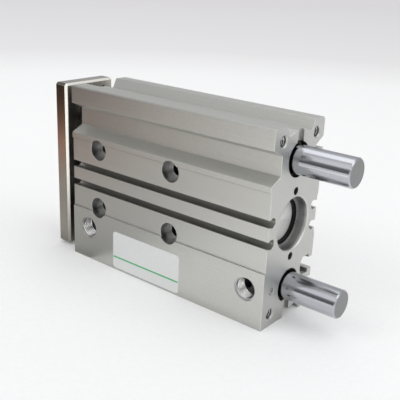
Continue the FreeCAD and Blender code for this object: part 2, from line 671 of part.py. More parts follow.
piston_rod = turned("piston_rod", [
    (plate_back, 0.0), (piston_end, 0.0), (piston_end, spigot_d / 2),
    (piston_x, spigot_d / 2), (piston_x, rod_r), (plate_back + break_edge, rod_r),
    (plate_back, rod_r - break_edge)])
drill(piston_rod, "YZ_Plane", plate_back, [(0.0, 0.0)], bolt_d, bolt_grip, True, None, None,
      "Angled")

seal_x = piston_end - piston_rim - piston_seal_t
magnet_x = piston_x + piston_rim
seal_in, magnet_in = piston_r - piston_seal_drop, piston_r - magnet_drop
bumper_r = bore_r - bumper_drop
turned("piston", [
    (piston_x, spigot_d / 2), (piston_end, spigot_d / 2), (piston_end, piston_r),
    (seal_x + piston_seal_t, piston_r), (seal_x + piston_seal_t, seal_in),
    (seal_x, seal_in), (seal_x, piston_r), (magnet_x + magnet_t, piston_r),
    (magnet_x + magnet_t, magnet_in), (magnet_x, magnet_in), (magnet_x, piston_r),
    (piston_x, piston_r)])
turned("piston_seal", seal_profile(seal_x, piston_seal_t, seal_in, piston_r))
turned("piston_magnet", box_loop(magnet_x, magnet_in, magnet_x + magnet_t,
                                 piston_r - magnet_cover))
turned("bumper_front", ring_profile(piston_x - bumper_t, piston_x, rod_r, bumper_r,
                                    break_edge / 2))
turned("bumper_rear", ring_profile(piston_end, piston_end + bumper_t, 0.0, bumper_r,
                                   break_edge / 2))

# ---------------------------------------------------------------- check and write
doc.recompute()
for item in doc.Objects:
    if "Invalid" in item.State or "Error" in item.State:
        raise RuntimeError("%s (%s) failed: %s" % (item.Name, item.Label, item.State))
pieces = [item for item in doc.Objects if item.TypeId == "PartDesign::Body"]
for piece in pieces:
    if piece.Shape.isNull() or not piece.Shape.isValid():
        raise RuntimeError("%s has no valid shape" % piece.Label)
os.makedirs("parts", exist_ok=True)
for piece in pieces:
    piece.Shape.exportStep("parts/%s.step" % piece.Label)
    print("%-24s %d solid(s) %10.1f mm3" % (
        piece.Label, len(piece.Shape.Solids), piece.Shape.Volume))
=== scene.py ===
import bpy
import json
import math
from mathutils import Matrix, Vector


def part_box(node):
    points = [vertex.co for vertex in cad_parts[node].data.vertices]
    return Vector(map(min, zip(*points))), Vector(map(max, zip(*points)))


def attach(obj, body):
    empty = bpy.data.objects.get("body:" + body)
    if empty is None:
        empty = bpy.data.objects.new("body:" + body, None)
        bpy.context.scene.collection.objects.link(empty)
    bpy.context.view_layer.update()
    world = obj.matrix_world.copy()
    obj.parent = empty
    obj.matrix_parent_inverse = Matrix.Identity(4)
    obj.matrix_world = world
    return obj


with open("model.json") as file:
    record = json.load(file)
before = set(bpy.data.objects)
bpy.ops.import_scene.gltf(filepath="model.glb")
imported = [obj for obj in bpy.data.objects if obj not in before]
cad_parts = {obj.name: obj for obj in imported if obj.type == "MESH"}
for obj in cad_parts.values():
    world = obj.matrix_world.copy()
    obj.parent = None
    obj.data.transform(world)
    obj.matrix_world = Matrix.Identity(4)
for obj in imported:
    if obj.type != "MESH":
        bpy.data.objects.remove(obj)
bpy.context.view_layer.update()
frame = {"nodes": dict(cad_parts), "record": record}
NODES = frame["nodes"]
MM = 0.001

# ------------------------------------------------------------------ places, from the frame
low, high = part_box("body")
X_FRONT, X_REAR = low[0], high[0]
Y_PORT = low[1]
Z_MID = (low[2] + high[2]) / 2
GUIDE = (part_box("guide_rod_upper")[0][2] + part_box("guide_rod_upper")[1][2]) / 2 - Z_MID
MOUNT = {m["name"]: m for m in frame["record"]["mounts"]}


# ------------------------------------------------------------------ shader graphs
class Nodes:
    """Small helpers round one shader node tree."""

    def __init__(self, tree):
        self.tree = tree

    def new(self, kind, **props):
        made = self.tree.nodes.new("ShaderNode" + kind)
        for key, value in props.items():
            setattr(made, key, value)
        return made

    def put(self, socket, value):
        if isinstance(value, bpy.types.NodeSocket):
            self.tree.links.new(value, socket)
        elif value is not None:
            if socket.type == "RGBA" and len(value) == 3:
                value = (*value, 1.0)
            socket.default_value = value

    def fill(self, made, *values):
        """Puts the values into the node's inputs, in order."""
        for index, value in enumerate(values):
            self.put(made.inputs[index], value)
        return made

    def math(self, op, a, b=None):
        return self.fill(self.new("Math", operation=op), a, b).outputs[0]

    def dot(self, a, b):
        return self.fill(self.new("VectorMath", operation="DOT_PRODUCT"), a, b).outputs["Value"]

    def xyz(self, vector):
        return self.fill(self.new("SeparateXYZ"), vector).outputs

    def span(self, value, a, b, lo=0.0, hi=1.0, smooth=True):
        """Maps a..b to lo..hi, clamped."""
        made = self.new("MapRange", interpolation_type="SMOOTHSTEP" if smooth else "LINEAR")
        return self.fill(made, value, a, b, lo, hi).outputs[0]

    def ramp(self, fac, stops):
        made = self.fill(self.new("ValToRGB"), fac)
        band = made.color_ramp.elements
        while len(band) < len(stops):
            band.new(0.5)
        for item, (at, colour) in zip(band, stops):
            item.position = at
            item.color = (*colour, 1.0)
        return made.outputs[0]


class Graph(Nodes):
    """A Principled material under construction."""

    def __init__(self, name, **sockets):
        self.mat = bpy.data.materials.new(name)
        self.mat.use_nodes = True
        super().__init__(self.mat.node_tree)
        self.bsdf = self.tree.nodes["Principled BSDF"]
        self.coord = self.new("TexCoord")
        self.pos = self.coord.outputs["Object"]
        self.out(**sockets)

    def xyz(self, vector=None):
        return super().xyz(vector or self.pos)

    def scaled(self, *factors):
        made = self.new("Mapping")
        self.put(made.inputs["Vector"], self.pos)
        made.inputs["Scale"].default_value = factors
        return made.outputs[0]

    def noise(self, vector, scale, detail, rough):
        made = self.new("TexNoise")
        self.put(made.inputs["Vector"], vector)
        for key, value in (("Scale", scale), ("Detail", detail), ("Roughness", rough)):
            made.inputs[key].default_value = value
        return made.outputs["Fac"]

    def mix(self, fac, a, b, blend="MIX"):
        """Colour mix."""
        made = self.new("Mix", data_type="RGBA", blend_type=blend)
        for key, value in (("Factor", fac), (6, a), (7, b)):
            self.put(made.inputs[key], value)
        return made.outputs[2]

    def blendf(self, fac, a, b):
        """Float mix."""
        return self.fill(self.new("Mix"), fac, None, a, b).outputs[0]

    def edges(self, radius, gain):
        """1 along edges of the mesh and 0 on its faces, and the rounded normal."""
        made = self.new("Bevel", samples=6)
        made.inputs["Radius"].default_value = radius
        bent = made.outputs[0]
        dot = self.dot(bent, self.new("NewGeometry").outputs["Normal"])
        return self.math("MULTIPLY", self.math("SUBTRACT", 1.0, dot), gain), bent

    def wear_and_sheen(self, tone, edge, most, colour):
        """The tone with its edges drawn lighter, by at most the given share: partly edge wear,
        partly a painted highlight where edges catch the light.
        """
        return self.mix(self.math("MINIMUM", edge, most), tone, colour)

    def marks(self, distance, pitch_mm):
        """Waves that repeat with the pitch."""
        return self.math("SINE", self.math("MULTIPLY", distance, 2 * math.pi / (pitch_mm * MM)))

    def bump(self, height, strength, distance, normal=None):
        made = self.new("Bump")
        made.inputs["Strength"].default_value = strength
        made.inputs["Distance"].default_value = distance
        self.put(made.inputs["Height"], height)
        self.put(made.inputs["Normal"], normal)
        return made.outputs[0]

    def fold(self, op, values):
        made = values[0]
        for value in values[1:]:
            made = self.math(op, made, value)
        return made

    def both(self, *values):
        """Product of masks."""
        return self.fold("MULTIPLY", values)

    def either(self, *values):
        """Greatest of masks."""
        return self.fold("MAXIMUM", values)

    def occlusion(self, distance, samples=6):
        """1 in the open, towards 0 deep in a gap."""
        made = self.new("AmbientOcclusion", samples=samples)
        made.inputs["Distance"].default_value = distance
        return made.outputs["AO"]

    def out(self, **sockets):
        for key, value in sockets.items():
            self.put(self.bsdf.inputs[key.replace("_", " ")], value)
        return self.mat


def hypot(g, a, b):
    return g.math("SQRT", g.math("ADD", g.math("MULTIPLY", a, a), g.math("MULTIPLY", b, b)))


def folded(g, value, centre, half):
    """Distance from the nearer of two places, centre +- half."""
    away = g.math("ABSOLUTE", g.math("SUBTRACT", value, centre))
    return g.math("SUBTRACT", away, half)


def nearer(g, value, centre, half):
    """Signed offset from the nearer of two places, centre +- half."""
    off = g.math("SUBTRACT", value, centre)
    return g.math("SUBTRACT", off, g.math("MULTIPLY", g.math("SIGN", off), half))


def within(g, distance, radius):
    """1 nearer than the radius, 0 just beyond it."""
    return g.span(distance, radius + 0.06 * MM, radius)


# ------------------------------------------------------------------ materials
HOLE_HALF_X, HOLE_HALF_Z = 22 * MM, 14 * MM  # half pitches of the through holes
COUNTERBORE_R, THROUGH_R, PORT_R = 4.80 * MM, 2.84 * MM, 5.10 * MM
BORE_R, GUIDE_BORE_R = 11.70 * MM, 7.34 * MM
# Painted shade deep in the bores, partly also a darker hard-anodised finish.
BORE_SHADE_GREY = (0.30, 0.30, 0.30)


def anodised_body():
    g = Graph("anodised_aluminium_extrusion", Metallic=1.0)
    x, y, z = g.xyz()
    normal = g.xyz(g.coord.outputs["Normal"])
    end = g.span(g.math("ABSOLUTE", normal[0]), 0.6, 0.8)
    along = g.math("SUBTRACT", 1.0, end)
    rise = g.math("SUBTRACT", z, Z_MID)
    through = MOUNT["body_through_holes"]
    hole_x = nearer(g, x, through["pos_m"][0], HOLE_HALF_X)
    hole_z = nearer(g, z, Z_MID, HOLE_HALF_Z)
    hole = hypot(g, hole_x, hole_z)
    in_hole = g.both(within(g, hole, COUNTERBORE_R), g.span(y, -11.9 * MM, -12.1 * MM))
    in_through = g.both(within(g, hole, THROUGH_R), g.span(y, -12.4 * MM, -12.2 * MM),
                        g.span(g.math("ABSOLUTE", normal[1]), 0.6, 0.4))
    seat = g.both(in_hole, g.span(normal[1], -0.8, -0.9), g.span(y, Y_PORT + 5.0 * MM,
                                                                 Y_PORT + 5.4 * MM))
    ports = (MOUNT["front_port"]["pos_m"], MOUNT["rear_port"]["pos_m"])
    port_mid = (ports[0][0] + ports[1][0]) / 2
    port = hypot(g, folded(g, x, port_mid, abs(ports[1][0] - ports[0][0]) / 2),
                 g.math("SUBTRACT", z, ports[0][2]))
    in_port = g.both(within(g, port, PORT_R), g.span(y, -0.006, -0.007))
    bore = hypot(g, y, rise)
    in_bore = g.both(within(g, bore, BORE_R), along)
    guide = hypot(g, y, folded(g, z, Z_MID, GUIDE))
    in_guide = g.both(within(g, guide, GUIDE_BORE_R), along)
    machined = g.either(in_hole, in_through, in_port, in_bore, in_guide)
    plain = g.math("SUBTRACT", 1.0, machined)

    # Painted hairline along the upper land: a dark line of painted shade, standing in for a
    # scribed groove.
    hairline_shade = g.both(g.span(z, 58.32 * MM, 58.42 * MM), g.span(z, 58.72 * MM, 58.62 * MM),
                  g.span(y, -16.9 * MM, -17.1 * MM), plain, along)

    # Matt anodised grain, with faint die lines along the extrusion.
    grain = g.noise(g.pos, 2300.0, 3.0, 0.65)
    sand = g.noise(g.scaled(0.55, 1, 1), 5200.0, 2.0, 0.6)
    lines = g.noise(g.scaled(9, 1500, 1500), 1.0, 2.0, 0.6)
    cloud = g.noise(g.scaled(0.4, 1, 1), 46.0, 3.0, 0.55)
    # Face-milling marks of the two end faces: arcs of a large cutter.
    cutter = hypot(g, g.math("ADD", y, 0.060), g.math("ADD", z, 0.035))
    arcs = g.marks(cutter, 0.42)
    # Boring marks of counterbores, ports and bores.
    rings = g.marks(g.math("ADD", y, g.math("MULTIPLY", x, 0.7)), 0.16)

    tone = g.mix(g.span(grain, 0.34, 0.68), (0.610, 0.612, 0.580), (0.700, 0.702, 0.670))
    tone = g.mix(g.span(cloud, 0.35, 0.75, 0.0, 0.30), tone, (0.575, 0.580, 0.545))
    tone = g.mix(g.span(lines, 0.30, 0.72, 0.0, 0.16), tone, (0.74, 0.74, 0.71))
    # End faces a little darker than the sides: partly their milled finish, partly painted shade
    # that offsets the stronger light on them.
    end_finish_and_shade = g.mix(g.span(grain, 0.3, 0.7), (0.540, 0.542, 0.520), (0.620, 0.622, 0.600))
    tone = g.mix(end, tone, end_finish_and_shade)
    # Painted shade of the hairline.
    tone = g.mix(g.math("MULTIPLY", hairline_shade, 0.85), tone, (0.17, 0.17, 0.165))
    # Lighter edges: partly wear, partly a painted highlight where the edges catch the light.
    edge, bent = g.edges(0.34 * MM, 3.2)
    edge = g.both(g.math("MINIMUM", edge, 0.8), plain)
    tone = g.mix(edge, tone, (0.97, 0.97, 0.95))
    tone = g.mix(machined, tone, g.mix(g.span(grain, 0.3, 0.7), (0.62, 0.62, 0.61),
                                       (0.72, 0.72, 0.71)))
    # Bores: lighter at the cut mouth and darker further in, painted highlight and painted shade,
    # partly also a darker hard-anodised finish.
    tone = g.mix(in_bore, tone, g.mix(g.span(g.math("SUBTRACT", X_REAR, x), 0.8 * MM, 2.1 * MM),
                                      (0.80, 0.80, 0.79), BORE_SHADE_GREY))
    tone = g.mix(in_guide, tone, BORE_SHADE_GREY)
    # Painted shade: crevices are darkened by occlusion.
    open_sky = g.occlusion(9 * MM)
    shade = g.ramp(open_sky, ((0.0, (0.30,) * 3), (0.30, (0.60,) * 3), (0.60, (0.92,) * 3),
                              (0.85, (1.0,) * 3)))
    tone = g.mix(1.0, tone, shade, "MULTIPLY")

    rough = g.blendf(g.span(grain, 0.3, 0.7), 0.38, 0.50)
    rough = g.blendf(end, rough, 0.44)
    rough = g.blendf(machined, rough, 0.30)
    rough = g.blendf(seat, rough, 0.24)
    rough = g.blendf(edge, rough, 0.34)

    relief = g.blendf(end, g.blendf(0.22, sand, lines), g.blendf(0.14, grain, arcs))
    relief = g.blendf(machined, relief, rings)
    first = g.bump(relief, 0.20, 0.016 * MM, bent)
    second = g.bump(grain, 0.30, 0.014 * MM, first)
    return g.out(Base_Color=tone, Roughness=rough, Normal=second)


def chrome_rod():
    g = Graph("hard_chrome_rod", Metallic=1.0)
    _, y, z = g.xyz()
    normal = g.xyz(g.coord.outputs["Normal"])
    flat = g.span(g.math("ABSOLUTE", normal[0]), 0.85, 0.95)
    radius = hypot(g, y, folded(g, z, Z_MID, GUIDE))
    grind = g.noise(g.scaled(2600, 12, 12), 1.0, 2.0, 0.6)
    haze = g.noise(g.scaled(30, 60, 60), 1.0, 3.0, 0.5)
    rings = g.marks(radius, 0.30)
    tooth = g.noise(g.pos, 2400.0, 2.0, 0.6)
    tone = g.mix(g.span(haze, 0.35, 0.7), (0.490, 0.500, 0.535), (0.530, 0.540, 0.570))
    tone = g.mix(flat, tone, g.mix(g.span(tooth, 0.3, 0.7), (0.250, 0.250, 0.252),
                                   (0.310, 0.310, 0.312)))
    edge, bent = g.edges(0.15 * MM, 2.0)
    tone = g.wear_and_sheen(tone, edge, 0.5, (0.72, 0.72, 0.74))
    rough = g.blendf(flat, g.span(grind, 0.2, 0.8, 0.13, 0.18), 0.42)
    height = g.blendf(flat, grind, g.blendf(0.3, rings, tooth))
    return g.out(Base_Color=tone, Roughness=rough,
                 Normal=g.bump(height, 0.02, 0.01 * MM, bent))


def nickel_plate():
    g = Graph("nickel_plated_plate", Metallic=1.0)
    normal = g.xyz(g.coord.outputs["Normal"])
    flat = [g.math("ABSOLUTE", n) for n in normal]
    broad = g.span(flat[0], 0.6, 0.8)
    bevel_highlight = g.span(g.either(*flat), 0.90, 0.80)
    long_lines = g.noise(g.scaled(1500, 1500, 18), 1.0, 2.0, 0.6)
    grind = g.noise(g.scaled(300, 1700, 22), 1.0, 2.0, 0.6)
    speck = g.noise(g.pos, 2600.0, 2.0, 0.6)
    cloud = g.noise(g.pos, 60.0, 3.0, 0.5)
    tone = g.mix(g.span(cloud, 0.35, 0.7), (0.50, 0.47, 0.42), (0.55, 0.52, 0.47))
    tone = g.mix(g.span(speck, 0.3, 0.7, 0.0, 0.35), tone, (0.43, 0.405, 0.365))
    # Painted highlight on the chamfers; the lighter edges are partly wear, partly painted
    # highlight.
    edge, bent = g.edges(0.25 * MM, 2.6)
    tone = g.wear_and_sheen(tone, edge, 0.8, (0.97, 0.95, 0.88))
    tone = g.mix(bevel_highlight, tone, (1.0, 0.98, 0.90))
    # Painted shade: darker where the plate is occluded, as in the gap to the body.
    open_sky = g.occlusion(16 * MM, 8)
    tone = g.mix(1.0, tone, g.ramp(open_sky, ((0.0, (0.20,) * 3), (0.35, (0.45,) * 3),
                                              (0.55, (0.80,) * 3), (0.75, (1.0,) * 3))),
                 "MULTIPLY")
    rough = g.blendf(broad, g.span(long_lines, 0.2, 0.8, 0.17, 0.25),
                     g.span(grind, 0.2, 0.8, 0.24, 0.34))
    height = g.blendf(broad, long_lines, grind)
    return g.out(Base_Color=tone, Roughness=rough,
                 Normal=g.bump(height, 0.12, 0.012 * MM, bent))


def turned_metal(name, low_tone, high_tone, rough, axis_z=None):
    """Metal with concentric turning marks about an x-parallel axis."""
    g = Graph(name, Metallic=1.0)
    _, y, z = g.xyz()
    rise = g.math("SUBTRACT", z, Z_MID) if axis_z is None else folded(g, z, Z_MID, axis_z)
    radius = hypot(g, y, rise)
    wave = g.marks(radius, 0.22)
    speck = g.noise(g.pos, 1800.0, 2.0, 0.6)
    tone = g.mix(g.span(speck, 0.3, 0.7), low_tone, high_tone)
    edge, bent = g.edges(0.15 * MM, 2.0)
    tone = g.wear_and_sheen(tone, edge, 0.5, tuple(min(1.0, c * 1.35) for c in high_tone))
    return g.out(Base_Color=tone, Roughness=g.span(speck, 0.3, 0.7, rough * 0.85, rough * 1.15),
                 Normal=g.bump(g.blendf(0.3, wave, speck), 0.10, 0.012 * MM, bent))


def turned_cover():
    """Satin faced disc with turning marks, two painted highlight fans and painted shade at its
    rim.
    """
    g = Graph("turned_cover", Metallic=0.25, Specular_IOR_Level=0.5)
    _, y, z = g.xyz()
    rise = g.math("SUBTRACT", z, Z_MID)
    radius = hypot(g, y, rise)
    wave = g.marks(radius, 0.34)
    speck = g.noise(g.pos, 1600.0, 2.0, 0.6)
    # Two painted highlight fans, set at a fixed angle.
    turn = g.math("SUBTRACT", g.math("ARCTAN2", rise, y), 0.30)
    highlight_fan = g.math("COSINE", g.math("MULTIPLY", turn, 2.0))
    tone = g.mix(g.span(speck, 0.3, 0.7), (0.74, 0.74, 0.72), (0.84, 0.84, 0.82))
    tone = g.mix(g.span(highlight_fan, 0.3, 1.0, 0.0, 0.85), tone, (1.0, 1.0, 0.98))
    # Painted shade at the rim of the disc.
    tone = g.mix(g.span(radius, 9.2 * MM, 9.8 * MM, 0.0, 0.30), tone, (0.40, 0.40, 0.39))
    edge, bent = g.edges(0.15 * MM, 2.0)
    tone = g.wear_and_sheen(tone, edge, 0.5, (0.95, 0.95, 0.94))
    return g.out(Base_Color=tone, Roughness=g.span(speck, 0.3, 0.7, 0.34, 0.46),
                 Normal=g.bump(g.blendf(0.25, wave, speck), 0.06, 0.012 * MM, bent))


def black_steel(name, rough=0.30, glint=0.20):
    g = Graph(name, Metallic=0.85)
    speck = g.noise(g.pos, 1500.0, 3.0, 0.6)
    edge, bent = g.edges(0.15 * MM, 2.0)
    tone = g.mix(g.span(speck, 0.35, 0.7), (0.012, 0.012, 0.013), (0.030, 0.030, 0.032))
    tone = g.wear_and_sheen(tone, edge, 0.6, (glint, glint, glint * 1.03))
    return g.out(Base_Color=tone, Roughness=g.span(speck, 0.3, 0.7, rough, rough + 0.12),
                 Normal=g.bump(speck, 0.15, 0.01 * MM, bent))


def rubber(name, dark, light, rough=0.6):
    g = Graph(name)
    speck = g.noise(g.pos, 900.0, 3.0, 0.6)
    tone = g.mix(g.span(speck, 0.3, 0.7), dark, light)
    return g.out(Base_Color=tone, Roughness=g.span(speck, 0.3, 0.7, rough - 0.08, rough + 0.08),
                 Normal=g.bump(speck, 0.2, 0.02 * MM))


def sticker():
    """Blank white label with one plain green line near its lower edge."""
    g = Graph("blank_label", Roughness=0.38, Specular_IOR_Level=0.45, Coat_Weight=0.25,
              Coat_Roughness=0.22)
    x, _, z = g.xyz()
    fibre = g.noise(g.scaled(900, 900, 900), 1.0, 3.0, 0.6)
    wave = g.noise(g.scaled(90, 90, 120), 1.0, 2.0, 0.5)
    tone = g.mix(g.span(fibre, 0.3, 0.7), (0.930, 0.935, 0.930), (0.970, 0.975, 0.970))
    band = g.math("MULTIPLY", g.span(z, 6.05 * MM, 6.15 * MM), g.span(z, 6.95 * MM, 6.85 * MM))
    inside = g.math("MULTIPLY", g.span(x, X_FRONT + 27.6 * MM, X_FRONT + 27.7 * MM),
                    g.span(x, X_FRONT + 67.7 * MM, X_FRONT + 67.6 * MM))
    tone = g.mix(g.math("MULTIPLY", band, inside), tone, (0.100, 0.580, 0.210))
    return g.out(Base_Color=tone, Normal=g.bump(g.blendf(0.7, fibre, wave), 0.10, 0.02 * MM))


MATERIALS = {
    "body": anodised_body(),
    "guide_rod_upper": chrome_rod(),
    "tooling_plate": nickel_plate(),
    "head_cover": turned_cover(),
    "guide_bush_front_upper": turned_metal("bush_bronze", (0.34, 0.25, 0.15), (0.42, 0.32, 0.20),
                                           0.38, GUIDE),
    "side_port_plugs": turned_metal("plated_plug", (0.52, 0.52, 0.53), (0.62, 0.62, 0.64), 0.30),
    "piston_rod_bolt": black_steel("black_oxide_screw"),
    "head_cover_ring": black_steel("phosphated_ring", 0.46, 0.05),
    "rod_seal": rubber("seal_rubber", (0.010, 0.010, 0.011), (0.022, 0.022, 0.023)),
    "bumper_front": rubber("bumper_urethane", (0.02, 0.03, 0.06), (0.04, 0.05, 0.09), 0.5),
    "piston_magnet": rubber("ferrite_magnet", (0.05, 0.05, 0.055), (0.08, 0.08, 0.085), 0.7),
}
SHARED = {
    "guide_rod_lower": "guide_rod_upper", "piston_rod": "guide_rod_upper",
    "rod_cover": "head_cover", "piston": "head_cover",
    "guide_bush_front_lower": "guide_bush_front_upper",
    "guide_bush_rear_upper": "guide_bush_front_upper",
    "guide_bush_rear_lower": "guide_bush_front_upper",
    "rod_bushing": "guide_bush_front_upper", "passage_plugs": "side_port_plugs",
    "guide_rod_bolts": "piston_rod_bolt", "rod_cover_ring": "head_cover_ring",
    "rod_cover_gasket": "rod_seal", "head_cover_gasket": "rod_seal", "piston_seal": "rod_seal",
    "bumper_rear": "bumper_front",
}
for name, node in NODES.items():
    mat = MATERIALS[SHARED.get(name, name)]
    for index in range(len(node.material_slots)):
        node.material_slots[index].material = mat


# ------------------------------------------------------------------ detail pieces
def new_object(name, points, faces, mat):
    mesh = bpy.data.meshes.new(name)
    mesh.from_pydata(points, [], faces)
    mesh.materials.append(mat)
    made = bpy.data.objects.new(name, mesh)
    bpy.context.scene.collection.objects.link(made)
    return made


def new_piece(name, points, faces, mat, body):
    """Flat shaded detail that rides on a body."""
    piece = new_object(name, [tuple(p) for p in points], faces, mat)
    piece.data.validate()
    piece.data.update()
    for polygon in piece.data.polygons:
        polygon.use_smooth = False
    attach(piece, body)


def thread(name, centres, axis, wall_r, height, pitch, length, mat, body):
    """Screw thread on the wall of round holes: a V ridge that winds into each of them."""
    axis = Vector(axis).normalized()
    side = Vector((0, 0, 1)) if abs(axis.z) < 0.9 else Vector((1, 0, 0))
    other = axis.cross(side)
    per_turn = 72
    steps = int(length / pitch * per_turn)
    points, faces = [], []
    for centre in centres:
        base = len(points)
        for i in range(steps + 1):
            angle = 2 * math.pi * i / per_turn
            radial = side * math.cos(angle) + other * math.sin(angle)
            along = pitch * i / per_turn
            fade = min(1.0, i / (per_turn * 0.6), (steps - i) / (per_turn * 0.6))
            rows = ((wall_r + 0.02 * MM, 0.0), (wall_r - height * fade, 0.42 * pitch),
                    (wall_r - height * fade, 0.58 * pitch), (wall_r + 0.02 * MM, pitch))
            for radius, shift in rows:
                points.append(Vector(centre) + radial * radius - axis * (along + shift))
        for i in range(steps):
            for j in range(3):
                a = base + i * 4 + j
                faces.append((a, a + 1, a + 5, a + 4))
    new_piece(name, points, faces, mat, body)


def cut_thread(name, along, pitch, dark, light):
    """Painted highlights on the crests and painted shade in the roots, repeating with the pitch
    along one axis.
    """
    g = Graph(name, Metallic=1.0)
    place = g.xyz()[along]
    speck = g.noise(g.pos, 1800.0, 2.0, 0.6)
    wave = g.marks(place, pitch)
    edge, bent = g.edges(0.10 * MM, 2.0)
    tone = g.mix(g.span(wave, -0.5, 0.6), dark, light)
    tone = g.mix(g.span(speck, 0.35, 0.7, 0.0, 0.3), tone, dark)
    tone = g.wear_and_sheen(tone, edge, 0.6, (1.0, 1.0, 0.98))
    return g.out(Base_Color=tone, Roughness=g.span(speck, 0.3, 0.7, 0.22, 0.34),
                 Normal=g.bump(speck, 0.10, 0.012 * MM, bent))


thread_metal = cut_thread("cut_thread", 0, 0.8, (0.05, 0.05, 0.05), (0.80, 0.80, 0.78))
side_metal = cut_thread("cut_side_thread", 1, 1.0, (0.08, 0.08, 0.08), (0.70, 0.70, 0.68))
port_metal = cut_thread("cut_port_thread", 1, 0.907, (0.14, 0.14, 0.14), (1.0, 1.0, 0.98))


def pattern(mount):
    """Hole centres of a rectangular bolt pattern."""
    m = MOUNT[mount]
    axes = [i for i in range(3) if abs(m["axis"][i]) < 0.5]
    centres = []
    for a in (-0.5, 0.5):
        for b in (-0.5, 0.5):
            centre = Vector(m["pos_m"])
            centre[axes[0]] += a * m["dims"]["spacing_x_mm"] * MM
            centre[axes[1]] += b * m["dims"]["spacing_y_mm"] * MM
            centres.append(centre)
    return centres


def shifted(centres, axis, depth):
    return [Vector(c) - Vector(axis) * depth for c in centres]


thread("rear_face_threads", shifted(pattern("rear_tapped_holes"), (1, 0, 0), 0.5 * MM),
       (1, 0, 0), 2.1 * MM, 0.28 * MM, 0.8 * MM, 7.2 * MM, thread_metal, "housing")
thread("tapped_side_threads", shifted(pattern("body_tapped_side"), (0, 1, 0), 0.5 * MM),
       (0, 1, 0), 2.7 * MM, 0.30 * MM, 1.0 * MM, 11.0 * MM, side_metal, "housing")
thread("port_threads", [Vector((MOUNT[p]["pos_m"][0], Y_PORT + 0.5 * MM, MOUNT[p]["pos_m"][2]))
                        for p in ("front_port", "rear_port")],
       (0, -1, 0), 4.6 * MM, 0.42 * MM, 0.907 * MM, 5.4 * MM, port_metal, "housing")
thread("plate_threads", shifted(pattern("tool_holes"), (-1, 0, 0), 0.5 * MM),
       (-1, 0, 0), 2.1 * MM, 0.28 * MM, 0.8 * MM, 6.2 * MM, thread_metal, "carriage")


def label():
    """Rounded sticker on the port face, slightly lifted at its rim."""
    x0, x1 = X_FRONT + 27.3 * MM, X_FRONT + 68.0 * MM
    z0, z1, r = 0.9 * MM, 19.0 * MM, 1.6 * MM
    rim = []
    for cx, cz, start in ((x1 - r, z1 - r, 0), (x0 + r, z1 - r, 90), (x0 + r, z0 + r, 180),
                          (x1 - r, z0 + r, 270)):
        for i in range(9):
            angle = math.radians(start + i * 90 / 8)
            rim.append((cx + r * math.cos(angle), cz + r * math.sin(angle)))
    points, faces = [], []
    count = len(rim)
    mx, mz = (x0 + x1) / 2, (z0 + z1) / 2
    for inset, lift in ((0.0, -0.005), (0.0, 0.045), (0.12, 0.060)):
        for px, pz in rim:
            length = math.hypot(px - mx, pz - mz)
            k = 1 - inset * MM / length
            points.append((mx + (px - mx) * k, Y_PORT - lift * MM, mz + (pz - mz) * k))
    for ring in (0, 1):
        for i in range(count):
            a, b = ring * count + i, ring * count + (i + 1) % count
            faces.append((a, b, b + count, a + count))
    faces.append(tuple(range(2 * count, 3 * count)))
    new_piece("blank_label", points, faces, sticker(), "housing")


label()


# ------------------------------------------------------------------ floor, backdrop, light
def floor_material():
    """Pale matt table: a soft glow keeps it near white, its shadows stay, and a painted falloff
    darkens it further away.
    """
    g = Graph("pale_floor", Roughness=0.9, Specular_IOR_Level=0.0)
    x, y, _ = g.xyz()
    speck = g.noise(g.pos, 400.0, 3.0, 0.6)
    far = hypot(g, x, y)
    # Painted falloff: the table is drawn darker further from the object, as if less lit there.
    fade = g.ramp(g.span(far, 0.30, 1.90, smooth=False),
                  ((0.0, (1.0, 1.0, 1.0)), (0.16, (0.97, 0.97, 0.97)),
                   (0.30, (0.835, 0.83, 0.835)), (0.50, (0.80, 0.79, 0.80)),
                   (1.0, (0.76, 0.745, 0.755))))
    tone = g.mix(g.span(speck, 0.3, 0.7), (0.795, 0.795, 0.795), (0.815, 0.815, 0.815))
    tone = g.mix(1.0, tone, fade, "MULTIPLY")
    glow = g.mix(1.0, fade, (0.185, 0.185, 0.186), "MULTIPLY")
    path = g.new("LightPath").outputs
    seen = g.either(path["Is Camera Ray"], path["Is Glossy Ray"], path["Is Transmission Ray"])
    return g.out(Base_Color=tone, Emission_Color=glow, Emission_Strength=seen,
                 Normal=g.bump(speck, 0.03, 0.1 * MM))


def bare_material(name):
    """Material with an empty tree: itself, its helpers and its object coordinates."""
    mat = bpy.data.materials.new(name)
    mat.use_nodes = True
    mat.node_tree.nodes.clear()
    nodes = Nodes(mat.node_tree)
    return mat, nodes, nodes.new("TexCoord").outputs["Object"]


RING_R, RING_LOW, RING_HIGH, RING_STEPS = 2.9, -0.01, 1.0, 72
DIM_CORNER = (-0.626, -0.780)  # direction of the dim corner, seen from above


def backdrop():
    """Pale curved wall far behind the table; it thins out into the room at its top."""
    mat, nodes, pos = bare_material("backdrop")
    thin = nodes.span(nodes.xyz(pos)[2], 0.34, 0.75)
    # One corner of the room, which the rods mirror at the front left, is dim.
    towards = nodes.dot(pos, (DIM_CORNER[0] / RING_R, DIM_CORNER[1] / RING_R, 0.0))
    glow = nodes.fill(nodes.new("Emission"), (1.0, 0.985, 1.0),
                      nodes.span(towards, 0.35, 0.72, 0.70, 0.12))
    clear = nodes.new("BsdfTransparent")
    blend = nodes.fill(nodes.new("MixShader"), thin, glow.outputs[0], clear.outputs[0])
    nodes.fill(nodes.new("OutputMaterial"), blend.outputs[0])
    points, faces = [], []
    for i in range(RING_STEPS):
        angle = 2 * math.pi * i / RING_STEPS
        for height in (RING_LOW, RING_HIGH):
            points.append((RING_R * math.cos(angle), RING_R * math.sin(angle), height))
        j = (i + 1) % RING_STEPS
        faces.append((2 * i, 2 * j, 2 * j + 1, 2 * i + 1))
    wall = new_object("backdrop", points, faces, mat)
    wall.visible_diffuse = False
    wall.visible_shadow = False


